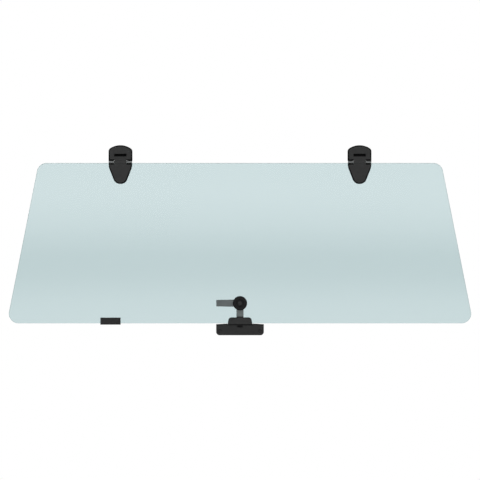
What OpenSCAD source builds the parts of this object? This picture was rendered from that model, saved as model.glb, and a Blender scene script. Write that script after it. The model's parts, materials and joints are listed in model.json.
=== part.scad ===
// Top-hinged glass window panel.
// A tempered glass sash hangs from two capped glass hinges and is locked at its
// bottom edge by a lever that drives a sliding bolt into a keeper.
// X runs along the hinge line, Z is up, and Y = 0 is the mounting plane of the
// surrounding panel. The sash lies on the -Y side and its foot swings towards -Y.
// The origin is the centre of the four hinge studs.

/* [Glass] */
// Width of the pane at its bottom edge, corner to corner before rounding
glass_bottom_w = 1214; // [900:1:1500]
// Width of the pane at its top edge, corner to corner before rounding
glass_top_w = 1048; // [800:1:1300]
// Height of the pane
glass_h = 417; // [300:1:600]
// Thickness of the pane
glass_t = 5; // [4:0.5:8]
// Radius of the pane's corners
glass_corner_r = 25; // [10:1:40]
// Space for the weather seal between the pane and the mounting plane
seal_gap = 8; // [8:0.5:14]
// Drop from the hinge axis to the pane's top edge
glass_drop = 2.6; // [2.6:0.1:5]

/* [Hinges] */
// Distance between the two hinges, centre to centre
hinge_spacing = 622; // [400:1:760]
// Width of a hinge
hinge_w = 61.6; // [50:0.2:80]
// Height of the frame cap's crown above the hinge axis
dome_top = 43.7; // [40:0.1:60]
// Radius of the frame cap's crown
dome_r = 48.6; // [46:0.2:60]
// Radius of the frame cap's shoulders
shoulder_r = 10; // [6:0.5:12]
// Length of the glass cap below the hinge axis
shield_len = 57; // [50:0.1:70]
// Width of the glass cap's tip, before rounding
shield_tip_w = 26.4; // [26:0.2:32]
// Radius of the glass cap's tip
shield_tip_r = 18; // [12:0.5:18]
// Drop from the hinge axis to where the glass cap starts to narrow
shield_shoulder = 12.7; // [10:0.1:16]
// Radius at which the glass cap's sides turn inwards
shield_hip_r = 45; // [20:1:45]
// Half of the gap between the two caps
split_z = 3.9; // [3.9:0.1:5]
// Wall of both caps
cap_wall = 1.8; // [1.4:0.1:2.2]
// Clearance between a cap and the metal inside it
cap_fit = 0.2; // [0.1:0.1:0.4]
// Width of the release slot in the frame cap
slot_w = 32; // [20:1:40]
// Height of the release slot
slot_h = 7; // [4:0.5:7]
// Height of the release slot's centre above the hinge axis
slot_z = 17.8; // [17.8:0.1:24]
// Width of the bracket's middle knuckle
lug_w = 30.4; // [24:0.2:36]
// Radius of the bracket's middle knuckle
lug_r = 3.8; // [3.8:0.1:5]
// Radius of the leaf's outer knuckles
knuckle_r = 3.5; // [3:0.1:3.7]
// Radius of the hinge pin
pin_r = 2; // [1.5:0.1:2.2]
// Radial clearance of the pin in the middle knuckle
pin_fit = 0.06; // [0.02:0.01:0.1]
// Thickness of the thrust washers between the knuckles
thrust_t = 0.5; // [0.4:0.1:1]
// Thickness of the steel leaf on the pane
leaf_t = 2; // [1.5:0.1:2.4]
// Thickness of the steel plate on the pane's inner face
back_plate_t = 2; // [1.5:0.1:2.4]
// Thickness of the rubber between the pane and the metal
gasket_t = 1; // [0.5:0.1:1.2]
// Depth of the bracket's base block
block_depth = 10.5; // [8:0.1:11]
// Thickness of the gasket under the bracket
bracket_gasket_t = 1.5; // [1:0.1:2]
// Radius of the mounting studs
stud_r = 3; // [2.5:0.5:4]
// Length of the studs beyond the mounting plane
stud_len = 20; // [12:1:30]
// Distance between the two studs of one hinge
stud_spacing = 20; // [16:1:22]
// Height of the studs' centre above the hinge axis
stud_rise = 24; // [22:1:26]
// Drop from the hinge axis to the upper clamp screw
upper_screw_drop = 18; // [15:0.5:22]

/* [Latch] */
// Height of the lever's spindle above the pane's bottom edge
latch_rise = 52.7; // [45:0.1:80]
// Diameter of the knob
knob_d = 37.4; // [36:0.1:46]
// Height of the knob
knob_h = 9; // [8:0.5:14]
// Length of the lever from the spindle
lever_len = 61.6; // [45:0.1:90]
// Height of the lever at its tip
lever_tip_h = 16.8; // [10:0.1:20]
// Height of the lever at the spindle
lever_root_h = 19; // [12:0.1:24]
// Thickness of the lever and its cam
lever_t = 4; // [3:0.5:6]
// Travel of the bolt over a quarter turn
throw = 5; // [4:0.5:6]
// Radius of the drive pin's path with the bolt thrown
cam_path_r = 14; // [13.6:0.1:14.2]
// Radius of the drive pin
drive_pin_r = 2; // [1.5:0.1:2.2]
// Clearance of the drive pin in the cam slot
cam_fit = 0.1; // [0.05:0.01:0.15]
// Width of the bolt
bolt_w = 18.4; // [16:0.1:24]
// Thickness of the bolt
bolt_t = 4; // [3:0.5:5]
// Clearance of the bolt between the cam and the latch flange
bolt_fit = 0.3; // [0.3:0.05:0.5]
// Radius of the spindle
spindle_r = 5; // [4.5:0.1:5.2]
// Radial clearance of the spindle in the latch body
spindle_fit = 0.06; // [0.02:0.01:0.1]
// Radius of the latch body's neck through the pane
neck_r = 8; // [7:0.5:10]
// Radius of the latch body's flange
flange_r = 15; // [13:0.5:17]
// Thickness of the latch body's flange
flange_t = 2.5; // [2:0.1:4]

/* [Bolt guide and keeper] */
// Width of the bolt guide at its foot
guide_w = 64.4; // [56:0.1:80]
// Width of the bolt guide at its top, before rounding
guide_top_w = 58; // [50:0.1:74]
// Height of the bolt guide above the pane's bottom edge
guide_rise = 15.3; // [14:0.1:24]
// Height of the collar on the guide in front of the bolt
collar_rise = 2.4; // [0.5:0.1:4]
// Lap of the guide's lip over the keeper
lip_lap = 1.6; // [1:0.1:3]
// Radius of the bolt guide's upper corners
guide_corner_r = 8; // [4:0.5:10]
// Web of the bolt guide under the pane
guide_web = 1.5; // [1.2:0.1:4]
// Thickness of the lip in front of the keeper
lip_t = 1.7; // [1.2:0.1:3]
// Back leg of the bolt guide behind the clamp pad
guide_back_t = 4; // [3:0.1:5]
// Thickness of the guide liner under the pane's edge
liner_web = 0.6; // [0.5:0.1:2]
// Thickness of the clamp pad
clamp_pad_t = 1.2; // [1:0.1:1.5]
// Clearance between the guide and the keeper
keeper_gap = 0.5; // [0.5:0.1:2]
// Clearance between the guide's lip and the keeper's front
lip_gap = 0.4; // [0.3:0.1:1]
// Width of the keeper
keeper_w = 123.8; // [110:0.1:150]
// Height of the keeper
keeper_h = 28.1; // [26:0.1:40]
// Rise of the keeper's shoulders beside the guide above its seat under the guide
keeper_rise = 1.6; // [0:0.1:2]
// Fall of the keeper's top from its shoulders to its ends
keeper_crown = 1.6; // [0:0.1:3]
// Depth of the keeper from the mounting plane
keeper_depth = 24.5; // [24.5:0.5:34]
// Radius of the keeper's lower corners
keeper_corner_r = 9; // [4:0.5:12]
// Wall of the keeper
keeper_wall = 3; // [2:0.1:4]
// Width of the notch in front of the bolt
notch_w = 14; // [10:0.5:15]
// Depth of the notch in front of the bolt
notch_h = 8; // [5:0.5:9]
// Clearance around the bolt in the keeper's pocket
pocket_fit = 0.5; // [0.4:0.1:1]
// Thickness of the steel strike
strike_t = 1.5; // [1:0.1:2]
// Distance between the keeper's threaded inserts
insert_spacing = 90; // [80:1:96]
// Radius of the threaded bore in each insert
insert_bore_r = 2.1; // [1.6:0.1:2.5]
// Outer radius of each insert
insert_r = 3.5; // [3:0.1:4.5]
// Length of each insert
insert_len = 10; // [6:0.5:14]

/* [Edge buffer] */
// Position of the buffer along the pane's bottom edge, left of the middle
buffer_x = 337; // [120:1:420]
// Width of the buffer
buffer_w = 52.3; // [30:0.1:80]
// Height of the buffer above the pane's bottom edge
buffer_rise = 14.8; // [10:0.1:25]
// Rubber under the pane's bottom edge
buffer_web = 3.4; // [3:0.1:6]
// Rubber on each face of the pane
buffer_leg = 3.5; // [3:0.1:5]
// Thickness of the spring steel inside the rubber
spring_t = 0.8; // [0.5:0.1:1]

/* [Hidden] */

$fn = 64;

// Overshoot of a cut beyond the face it opens
cut = 1;

// Heights
axis_z = -stud_rise;
glass_top_z = axis_z - glass_drop;
glass_bottom_z = glass_top_z - glass_h;
knob_z = glass_bottom_z + latch_rise;
guide_bottom_z = glass_bottom_z - liner_web - guide_web;
keeper_top_z = guide_bottom_z - keeper_gap;
keeper_bottom_z = keeper_top_z - keeper_h;

// Layers from the mounting plane outwards, each the Y of a face
glass_in = -seal_gap;
glass_out = glass_in - glass_t;
plate_in = glass_in + gasket_t;
plate_back = plate_in + back_plate_t;
leaf_in = glass_out - gasket_t;
leaf_out = leaf_in - leaf_t;
flange_out = leaf_in - flange_t;
bolt_back = flange_out - bolt_fit;
bolt_front = bolt_back - bolt_t;
cam_back = bolt_front - bolt_fit;
cam_front = cam_back - lever_t;
keeper_front = -keeper_depth;
lip_back = keeper_front - lip_gap;
guide_front = lip_back - lip_t;

// Hinge
curl_set = 0.1;
axis_y = leaf_in - knuckle_r - curl_set;
cap_set = 0.2;
cap_front = axis_y - lug_r - cap_set;
block_back = -bracket_gasket_t;
block_front = block_back - block_depth;
lug_top = 14;
side_gap = 0.15;
knuckle_start = lug_w / 2 + side_gap + thrust_t;
knuckle_set = 0.4;
knuckle_end = hinge_w / 2 - knuckle_set;
washer_set = 0.3;
swing_gap = 0.4;
lug_edge_r = 0.5;
// The middle knuckle's front edge reaches furthest from the axis
swing_r = norm([lug_r, lug_r]) - (sqrt(2) - 1) * lug_edge_r + swing_gap;
// Slope at which the crown's arc runs straight into the shoulders'
roof_a = asin((hinge_w / 2 - shoulder_r) / (dome_r - shoulder_r));
stud_head_r = 4.5;
stud_head_t = 3;
gasket_inset = 0.4;
hip_share = 0.98;
back_inset = 4;

// Clamp screws, M6 with thin nuts
screw_r = 3;
screw_head_r = 5.25;
screw_head_h = 3.3;
screw_washer_r = 6;
screw_washer_t = 1;
screw_hole_r = 3.3;
nut_af = 10;
nut_t = 3.2;
bush_r = 5.3;
bush_fit = 0.2;
glass_hole_r = bush_r + bush_fit;
lower_screw_drop = shield_len - shield_tip_r;
screw_drops = [upper_screw_drop, lower_screw_drop];

// Latch
cam_wall = 1.8;
cam_r = cam_path_r + drive_pin_r + cam_fit + cam_wall;
neck_end = -2;
neck_fit = 0.05;
latch_bush_wall = 0.9;
latch_bush_r = neck_r + latch_bush_wall;
latch_bush_fit = 0.1;
latch_hole_r = latch_bush_r + latch_bush_fit;
latch_gasket_r = flange_r - gasket_inset;
latch_washer_t = 1;
latch_nut_af = 24;
latch_nut_t = 3.5;
tenon = 7;
spindle_end = -0.4;
clip_groove_r = 4.2;
clip_r = 8;
clip_t = 0.8;
clip_gap = 0.1;
fork_fit = 0.35;
fork_top = 6;
knob_screw_r = 2;
knob_screw_head_r = 3.8;
knob_screw_head_h = 2.6;
knob_screw_len = 12;
knob_bore_r = 5.2;
knob_floor = 4;
plug_t = 2.4;
plug_proud = 0.4;

// Bolt: the nose wraps a tongue of the plate
nose_clear = 0.6;
nose_reach = throw - nose_clear;
nose_z = keeper_top_z - nose_reach;
nose_len = 13.6;
nose_top_z = nose_z + nose_len;
tongue_w = 10;
tongue_t = 2;
tongue_len = 10;
drive_pin_set = 3.3;
drive_pin_end = 0.4;

// Guide clamp
liner_t = gasket_t;
pad_in = glass_in + liner_t;
pad_back = pad_in + clamp_pad_t;
guide_back = pad_back + guide_back_t;
channel_fit = bolt_fit / 2;
pad_side = 3;
pad_w = guide_top_w - 2 * pad_side;
pad_foot = 1;
pad_head = 3;
grub_x = 20;
grub_r = 2;
grub_set = 0.2;

// Keeper
insert_rise = 13;
insert_z = keeper_bottom_z + insert_rise;
pocket_floor_gap = 2;
pocket_depth = throw + pocket_floor_gap;
strike_lap = 5;
strike_w = bolt_w + 2 * strike_lap;
strike_drop = 2;
strike_h = 14;
core_gap = 4;

// Edge buffer
spring_cover = 1.2;

function unit(v) = v / norm(v);
function ray(angle, r) = r * [cos(angle), sin(angle)];

// The points of the corner b between a and c, rounded to radius r
function corner(a, b, c, r, steps = 16) =
  r == 0 ? [b] :
  let (
    u = unit(a - b),
    v = unit(c - b),
    half = acos(u * v) / 2,
    centre = b + unit(u + v) * r / sin(half),
    start = b + u * r / tan(half) - centre,
    turn = sign(cross(b - a, c - b)) * (180 - 2 * half)
  )
  [for (i = [0:steps]) centre + ray(atan2(start[1], start[0]) + turn * i / steps, r)];

// Drops each point that repeats the next one
function distinct(points) = [
  for (i = [0:len(points) - 1])
    if (norm(points[i] - points[(i + 1) % len(points)]) > 0.001) points[i]
];

// An outline through the corners, each rounded to its own radius
function outline(corners, radii, steps = 16) = distinct([
  for (i = [0:len(corners) - 1])
    each corner(
      corners[(i + len(corners) - 1) % len(corners)],
      corners[i],
      corners[(i + 1) % len(corners)],
      radii[i],
      steps
    )
]);

// The frame cap's outline, moved inwards
function dome(inset) =
  let (
    half = hinge_w / 2 - inset,
    crown_r = dome_r - inset,
    apex = dome_top - inset + crown_r * (1 / cos(roof_a) - 1),
    eave = apex - half * tan(roof_a),
    base = split_z + inset
  )
  outline(
    [[-half, base], [half, base], [half, eave], [0, apex], [-half, eave]],
    [0, 0, shoulder_r - inset, crown_r, shoulder_r - inset]
  );

// The glass cap's outline, moved inwards, up to the height head_z
function shield(inset, head_z) =
  let (
    half = hinge_w / 2,
    tip = shield_tip_w / 2,
    lean = (half - tip) / (shield_len - shield_shoulder),
    slope = sqrt(1 + lean * lean),
    hip_x = half - inset,
    hip_z = -shield_shoulder + inset * (slope - 1) / lean,
    hip_room = (head_z - hip_z) / tan(atan(lean) / 2),
    hip_r = min(shield_hip_r - inset, hip_share * hip_room),
    foot_x = tip + inset * (lean - slope),
    foot_z = inset - shield_len,
    tip_r = shield_tip_r - inset
  )
  outline(
    [[-foot_x, foot_z], [foot_x, foot_z], [hip_x, hip_z],
     [hip_x, head_z], [-hip_x, head_z], [-hip_x, hip_z]],
    [tip_r, tip_r, hip_r, 0, 0, hip_r]
  );

function shield_head(inset) = -split_z - inset;

// A front-view outline carried through from Y = front to Y = back
module slab(front, back) {
  translate([0, back, 0])
    rotate([90, 0, 0])
      linear_extrude(back - front)
        children();
}

// A side-view (Y, Z) outline carried along X
module bar(start, end) {
  translate([start, 0, 0])
    rotate([90, 0, 90])
      linear_extrude(end - start)
        children();
}

// A round rod along X through the hinge axis
module axis_rod(r, start, end) {
  translate([start, axis_y, 0])
    rotate([0, 90, 0])
      cylinder(r = r, h = end - start);
}

// A box between two corners
module block(low, high) {
  translate(low)
    cube(high - low);
}

module at_hinge(side) {
  translate([side * hinge_spacing / 2, 0, axis_z])
    children();
}

module at_hinges() {
  for (side = [-1, 1])
    at_hinge(side)
      children();
}

module at_screws() {
  for (drop = screw_drops)
    translate([0, 0, -drop])
      children();
}

// The clamp screws' holes, as a front-view outline
module screw_holes(r) {
  for (drop = screw_drops)
    translate([0, -drop])
      circle(r);
}

module at_studs() {
  for (rise = [-1, 1])
    translate([0, 0, stud_rise + rise * stud_spacing / 2])
      children();
}

module at_knob() {
  translate([0, 0, knob_z])
    children();
}

// ---------- Pane ----------

module glass_outline() {
  polygon(outline(
    [[-glass_bottom_w / 2, glass_bottom_z], [glass_bottom_w / 2, glass_bottom_z],
     [glass_top_w / 2, glass_top_z], [-glass_top_w / 2, glass_top_z]],
    [glass_corner_r, glass_corner_r, glass_corner_r, glass_corner_r],
    steps = 24
  ));
}

module glass_pane() {
  color([0.75, 0.85, 0.86, 0.5])
    difference() {
      slab(glass_out, glass_in)
        glass_outline();
      at_hinges()
        at_screws()
          slab(glass_out - cut, glass_in + cut)
            circle(glass_hole_r);
      at_knob()
        slab(glass_out - cut, glass_in + cut)
          circle(latch_hole_r);
    }
}

// ---------- Hinge, frame side ----------

module frame_bracket() {
  lug_front = axis_y - lug_r;
  lug_back = axis_y + lug_r;
  under_cap = cap_front + cap_wall + cap_fit;
  block_base = split_z + cap_wall + cap_fit;
  color("#26282a")
    difference() {
      union() {
        slab(block_front, block_back)
          polygon(dome(cap_wall + cap_fit));
        bar(-lug_w / 2, lug_w / 2)
          polygon(outline(
            [[lug_front, -lug_r], [lug_back, -lug_r], [lug_back, block_base],
             [block_front + cut, block_base], [block_front + cut, lug_top],
             [under_cap, lug_top], [under_cap, split_z - cap_fit],
             [lug_front, split_z - cap_fit]],
            [lug_edge_r, lug_r, 0, 0, 0, 0, 0, 0]
          ));
      }
      axis_rod(pin_r + pin_fit, -hinge_w, hinge_w);
      at_studs()
        slab(block_back - stud_head_t, block_back + cut)
          circle(stud_head_r);
    }
}

module bracket_gasket() {
  color("#151515")
    slab(block_back, 0)
      difference() {
        polygon(dome(gasket_inset));
        for (rise = [-1, 1])
          translate([0, stud_rise + rise * stud_spacing / 2])
            circle(stud_head_r);
      }
}

module frame_cap() {
  lug_half = lug_w / 2 + cap_fit;
  inside = cap_front + cap_wall;
  color("#343536")
    difference() {
      slab(cap_front, block_back)
        polygon(dome(0));
      slab(inside, block_back + cut)
        polygon(dome(cap_wall));
      block([-lug_half, inside, split_z - cut],
            [lug_half, block_back + cut, split_z + cap_wall + cut]);
      translate([0, 0, slot_z])
        slab(cap_front - cut, inside + cut)
          square([slot_w, slot_h], center = true);
    }
}

// Each stud's shoulder ends flush with the gasket, so tightening can't crush the rubber
module frame_studs() {
  color("silver")
    at_hinges()
      at_studs()
        union() {
          slab(block_back - stud_head_t, 0)
            circle(stud_head_r);
          slab(0, stud_len)
            circle(stud_r);
        }
}

// ---------- Hinge, glass side ----------

module hinge_pin() {
  color("silver")
    axis_rod(pin_r, -knuckle_end, knuckle_end);
}

module hinge_washers() {
  washer_r = knuckle_r - washer_set;
  middle = knuckle_start - thrust_t / 2;
  color("#1d1e1f")
    at_hinges()
      for (side = [-1, 1])
        difference() {
          axis_rod(washer_r, side * middle - thrust_t / 2, side * middle + thrust_t / 2);
          axis_rod(pin_r, -hinge_w, hinge_w);
        }
}

module glass_leaf() {
  color("#6a6f70")
    difference() {
      union() {
        slab(leaf_out, leaf_in)
          polygon(shield(cap_wall + cap_fit, 0));
        for (side = [0, 1])
          mirror([side, 0, 0])
            axis_rod(knuckle_r, knuckle_start, knuckle_end);
      }
      axis_rod(pin_r, -hinge_w, hinge_w);
      axis_rod(swing_r, -knuckle_start, knuckle_start);
      at_screws()
        slab(leaf_out - cut, leaf_in + cut)
          circle(screw_hole_r);
    }
}

module leaf_gasket() {
  color("#151515")
    slab(leaf_in, glass_out)
      difference() {
        polygon(shield(gasket_inset, shield_head(gasket_inset)));
        screw_holes(bush_r);
      }
}

module inner_gasket() {
  inset = back_inset - gasket_inset;
  color("#151515")
    slab(glass_in, plate_in)
      difference() {
        polygon(shield(inset, shield_head(inset)));
        screw_holes(bush_r);
      }
}

module back_plate() {
  color("silver")
    slab(plate_in, plate_back)
      difference() {
        polygon(shield(back_inset, shield_head(back_inset)));
        screw_holes(screw_hole_r);
      }
}

module glass_cap() {
  inside = cap_front + cap_wall;
  pass_x = hinge_w / 2 - cap_wall;
  swing_x = lug_w / 2 + swing_gap;
  color("#343536")
    difference() {
      slab(cap_front, leaf_in)
        polygon(shield(0, shield_head(0)));
      slab(inside, leaf_in + cut)
        polygon(shield(cap_wall, shield_head(cap_wall)));
      block([-pass_x, leaf_out - cap_fit, -split_z - cap_wall - cut],
            [pass_x, leaf_in + cut, -split_z + cut]);
      axis_rod(swing_r, -swing_x, swing_x);
    }
}

module clamp_screws() {
  head_in = plate_back + screw_washer_t;
  color("silver")
    at_hinges()
      at_screws()
        union() {
          slab(head_in, head_in + screw_head_h)
            circle(screw_head_r);
          slab(leaf_out - nut_t, head_in)
            circle(screw_r);
        }
}

module clamp_washers() {
  color("silver")
    at_hinges()
      at_screws()
        slab(plate_back, plate_back + screw_washer_t)
          difference() {
            circle(screw_washer_r);
            circle(screw_hole_r);
          }
}

module clamp_nuts() {
  color("silver")
    at_hinges()
      at_screws()
        slab(leaf_out - nut_t, leaf_out)
          difference() {
            circle(d = nut_af / cos(30), $fn = 6);
            circle(screw_r);
          }
}

module glass_bushes() {
  color("white")
    at_hinges()
      at_screws()
        slab(glass_out, glass_in)
          difference() {
            circle(bush_r);
            circle(screw_hole_r);
          }
}

// ---------- Latch, fixed pieces on the pane ----------

module latch_body() {
  color("#3a3c3d")
    at_knob()
      difference() {
        union() {
          slab(flange_out, leaf_in)
            circle(flange_r);
          slab(leaf_in, neck_end)
            circle(neck_r);
        }
        slab(flange_out - cut, neck_end + cut)
          circle(spindle_r + spindle_fit);
      }
}

module neck_ring(front, back, r) {
  at_knob()
    slab(front, back)
      difference() {
        circle(r);
        circle(neck_r + neck_fit);
      }
}

module latch_gasket() {
  color("#151515")
    neck_ring(leaf_in, glass_out, latch_gasket_r);
}

module latch_bush() {
  color("white")
    neck_ring(glass_out, glass_in, latch_bush_r);
}

module latch_inner_gasket() {
  color("#151515")
    neck_ring(glass_in, plate_in, latch_gasket_r);
}

module latch_washer() {
  color("silver")
    neck_ring(plate_in, plate_in + latch_washer_t, latch_gasket_r);
}

module latch_nut() {
  nut_in = plate_in + latch_washer_t;
  color("silver")
    at_knob()
      slab(nut_in, nut_in + latch_nut_t)
        difference() {
          circle(d = latch_nut_af / cos(30), $fn = 6);
          circle(neck_r);
        }
}

// ---------- Latch, turning pieces ----------

module spindle() {
  clip_in = neck_end + clip_gap;
  color("silver")
    at_knob()
      difference() {
        union() {
          slab(cam_back, spindle_end)
            circle(spindle_r);
          slab(cam_front + clip_gap, cam_back)
            square(tenon, center = true);
        }
        slab(clip_in, clip_in + clip_t)
          difference() {
            circle(spindle_r + cut);
            circle(clip_groove_r);
          }
        slab(cam_front, cam_front + knob_screw_len)
          circle(knob_screw_r);
      }
}

module spindle_clip() {
  clip_in = neck_end + clip_gap;
  color("silver")
    at_knob()
      slab(clip_in, clip_in + clip_t)
        difference() {
          circle(clip_r);
          circle(clip_groove_r);
        }
}

// The drive pin's path in the cam, from bolt thrown (0) to bolt drawn (1)
function path_angle(t) = 90 * t - 90;
function path_r(t) = cam_path_r - throw * t;
function path_point(t) = ray(path_angle(t), path_r(t));
function path_heading(t) =
  path_angle(t) + atan2(path_r(t) * PI / 2, -throw);

// The slot that carries the drive pin along its path
function cam_slot(half, steps = 30, cap_steps = 12) = concat(
  [for (i = [0:steps])
    path_point(i / steps) + ray(path_heading(i / steps) - 90, half)],
  [for (i = [1:cap_steps - 1])
    path_point(1) + ray(path_heading(1) - 90 + 180 * i / cap_steps, half)],
  [for (i = [steps:-1:0])
    path_point(i / steps) + ray(path_heading(i / steps) + 90, half)],
  [for (i = [1:cap_steps - 1])
    path_point(0) + ray(path_heading(0) + 90 + 180 * i / cap_steps, half)]
);

module lever() {
  tip_r = 1.2;
  color("#6a6f70")
    at_knob()
      slab(cam_front, cam_back)
        difference() {
          union() {
            circle(cam_r);
            polygon(outline(
              [[-lever_len, -lever_tip_h / 2], [0, -lever_root_h / 2],
               [0, lever_root_h / 2], [-lever_len, lever_tip_h / 2]],
              [tip_r, 0, 0, tip_r]
            ));
          }
          square(tenon, center = true);
          polygon(cam_slot(drive_pin_r + cam_fit));
        }
}

module knob() {
  knob_r = knob_d / 2;
  edge_r = 3;
  foot = 1;
  groove_in = 7.5;
  groove_out = 10.5;
  groove_slope = 0.7;
  groove_d = 1.4;
  color("#1d1e1f")
    translate([0, cam_front, knob_z])
      rotate([90, 0, 0])
        rotate_extrude()
          polygon(concat(
            [[knob_screw_r, 0], [knob_r - foot, 0], [knob_r, foot]],
            corner([knob_r, foot], [knob_r, knob_h], [groove_out, knob_h], edge_r),
            [[groove_out, knob_h], [groove_out - groove_slope, knob_h - groove_d],
             [groove_in + groove_slope, knob_h - groove_d], [groove_in, knob_h],
             [knob_bore_r, knob_h], [knob_bore_r, knob_floor],
             [knob_screw_r, knob_floor]]
          ));
}

module knob_screw() {
  seat = cam_front - knob_floor;
  color("silver")
    at_knob()
      union() {
        slab(seat - knob_screw_head_h, seat)
          circle(knob_screw_head_r);
        slab(seat, cam_front + knob_screw_len)
          circle(knob_screw_r);
      }
}

module knob_plug() {
  plug_in = cam_front - knob_h + plug_t - plug_proud;
  color("#343536")
    at_knob()
      slab(plug_in - plug_t, plug_in)
        circle(knob_bore_r);
}

// ---------- Bolt ----------

module lock_bolt() {
  slot_half = spindle_r + fork_fit;
  color("#6a6f70")
    difference() {
      union() {
        block([-bolt_w / 2, bolt_front, nose_top_z],
              [bolt_w / 2, bolt_back, knob_z + fork_top]);
        block([-tongue_w / 2, (bolt_front + bolt_back - tongue_t) / 2,
               nose_top_z - tongue_len],
              [tongue_w / 2, (bolt_front + bolt_back + tongue_t) / 2, nose_top_z]);
      }
      at_knob()
        translate([0, 0, -throw])
          slab(bolt_front - cut, bolt_back + cut)
            union() {
              circle(slot_half);
              translate([-slot_half, 0])
                square([2 * slot_half, throw + fork_top + cut]);
            }
      at_knob()
        translate([0, 0, -cam_path_r])
          slab(bolt_front - cut, bolt_front + drive_pin_set)
            circle(drive_pin_r);
    }
}

module drive_pin() {
  color("silver")
    at_knob()
      translate([0, 0, -cam_path_r])
        slab(cam_front + drive_pin_end, bolt_front + drive_pin_set)
          circle(drive_pin_r);
}

module bolt_nose() {
  color("#111111")
    difference() {
      block([-bolt_w / 2, bolt_front, nose_z], [bolt_w / 2, bolt_back, nose_top_z]);
      block([-tongue_w / 2, (bolt_front + bolt_back - tongue_t) / 2,
             nose_top_z - tongue_len],
            [tongue_w / 2, (bolt_front + bolt_back + tongue_t) / 2, nose_top_z + cut]);
    }
}

// ---------- Bolt guide ----------

module guide_outline(bottom, inset) {
  foot = glass_bottom_z - liner_web - guide_web;
  top = glass_bottom_z + guide_rise;
  lean = (guide_w - guide_top_w) / 2 / (top - foot);
  function half_at(z) = guide_top_w / 2 + lean * (top - z) - inset * sqrt(1 + lean * lean);
  head = top - inset;
  corner_r = guide_corner_r - inset;
  polygon(outline(
    [[-half_at(bottom), bottom], [half_at(bottom), bottom],
     [half_at(head), head], [-half_at(head), head]],
    [0, 0, corner_r, corner_r]
  ));
}

module bolt_guide() {
  half = guide_w / 2 + lip_lap;
  top = glass_bottom_z + guide_rise;
  channel_half = bolt_w / 2 + channel_fit;
  lip_bottom = guide_bottom_z - keeper_gap - lip_lap;
  color("#343536")
    difference() {
      union() {
        slab(guide_front, guide_back)
          guide_outline(guide_bottom_z, 0);
        slab(guide_front, lip_back)
          guide_outline(lip_bottom, 0);
        block([-bolt_w / 2, guide_front, top - guide_corner_r],
              [bolt_w / 2, bolt_front, top + collar_rise]);
      }
      block([-half, leaf_in, glass_bottom_z - liner_web],
            [half, pad_back, top + cut]);
      block([-channel_half, bolt_front - channel_fit, lip_bottom - cut],
            [channel_half, bolt_back + channel_fit, top + collar_rise + cut]);
      for (side = [-1, 1])
        translate([side * grub_x, 0, glass_bottom_z + guide_rise / 2])
          slab(pad_back - cut, guide_back + cut)
            circle(grub_r);
      bar(-half, half)
        polygon([
          [glass_in, guide_bottom_z - cut], [glass_in, guide_bottom_z],
          [guide_back + cut, guide_bottom_z + liner_web + guide_web / 2],
          [guide_back + cut, guide_bottom_z - cut]
        ]);
    }
}

module guide_liner() {
  color("#151515")
    difference() {
      slab(leaf_in, pad_in)
        guide_outline(glass_bottom_z - liner_web, gasket_inset);
      block([-guide_w, glass_out, glass_bottom_z],
            [guide_w, glass_in, glass_bottom_z + guide_rise]);
    }
}

module clamp_pad() {
  color("silver")
    block([-pad_w / 2, pad_in, glass_bottom_z + pad_foot],
          [pad_w / 2, pad_back, glass_bottom_z + guide_rise - pad_head]);
}

module grub_screws() {
  color("silver")
    for (side = [-1, 1])
      translate([side * grub_x, 0, glass_bottom_z + guide_rise / 2])
        slab(pad_back, guide_back - grub_set)
          circle(grub_r);
}

// ---------- Keeper ----------

module keeper_outline(inset) {
  half = keeper_w / 2 - inset;
  seat_half = guide_w / 2 + keeper_gap + inset;
  seat = keeper_top_z - inset;
  shoulder = seat + keeper_rise;
  end = shoulder - keeper_crown;
  bottom = keeper_bottom_z + inset;
  polygon(outline(
    [[-half, bottom], [half, bottom], [half, end], [seat_half, shoulder], [seat_half, seat],
     [-seat_half, seat], [-seat_half, shoulder], [-half, end]],
    [keeper_corner_r - inset, keeper_corner_r - inset, 0, 0, 0, 0, 0, 0]
  ));
}

module at_inserts() {
  for (side = [-1, 1])
    translate([side * insert_spacing / 2, 0, insert_z])
      children();
}

module keeper() {
  pocket_half = bolt_w / 2 + pocket_fit;
  pocket_front = bolt_front - pocket_fit;
  pocket_back = bolt_back + pocket_fit;
  strike_front = pocket_front - strike_t;
  boss_r = insert_r + keeper_wall;
  core_half = strike_w / 2 + core_gap;
  color("#303031")
    difference() {
      slab(keeper_front, 0)
        keeper_outline(0);
      difference() {
        slab(pocket_front, cut)
          keeper_outline(keeper_wall);
        slab(pocket_front - cut, 2 * cut)
          union() {
            translate([-core_half, keeper_bottom_z])
              square([2 * core_half, keeper_h]);
            for (side = [-1, 1])
              translate([side * insert_spacing / 2, insert_z])
                circle(boss_r);
          }
      }
      block([-pocket_half, pocket_front, keeper_top_z - pocket_depth],
            [pocket_half, pocket_back, keeper_top_z + cut]);
      block([-strike_w / 2, strike_front, keeper_top_z - strike_drop - strike_h],
            [strike_w / 2, pocket_front + cut / 2, keeper_top_z - strike_drop]);
      block([-notch_w / 2, keeper_front - cut, keeper_top_z - notch_h],
            [notch_w / 2, pocket_front + cut / 2, keeper_top_z + cut]);
      at_inserts()
        slab(-insert_len, cut)
          circle(insert_r);
    }
}

module strike() {
  pocket_front = bolt_front - pocket_fit;
  color("silver")
    difference() {
      block([-strike_w / 2, pocket_front - strike_t, keeper_top_z - strike_drop - strike_h],
            [strike_w / 2, pocket_front, keeper_top_z - strike_drop]);
      block([-notch_w / 2, pocket_front - strike_t - cut, keeper_top_z - notch_h],
            [notch_w / 2, pocket_front + cut, keeper_top_z]);
    }
}

module keeper_inserts() {
  color("gold")
    at_inserts()
      slab(-insert_len, 0)
        difference() {
          circle(insert_r);
          circle(insert_bore_r);
        }
}

// ---------- Edge buffer ----------

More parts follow.
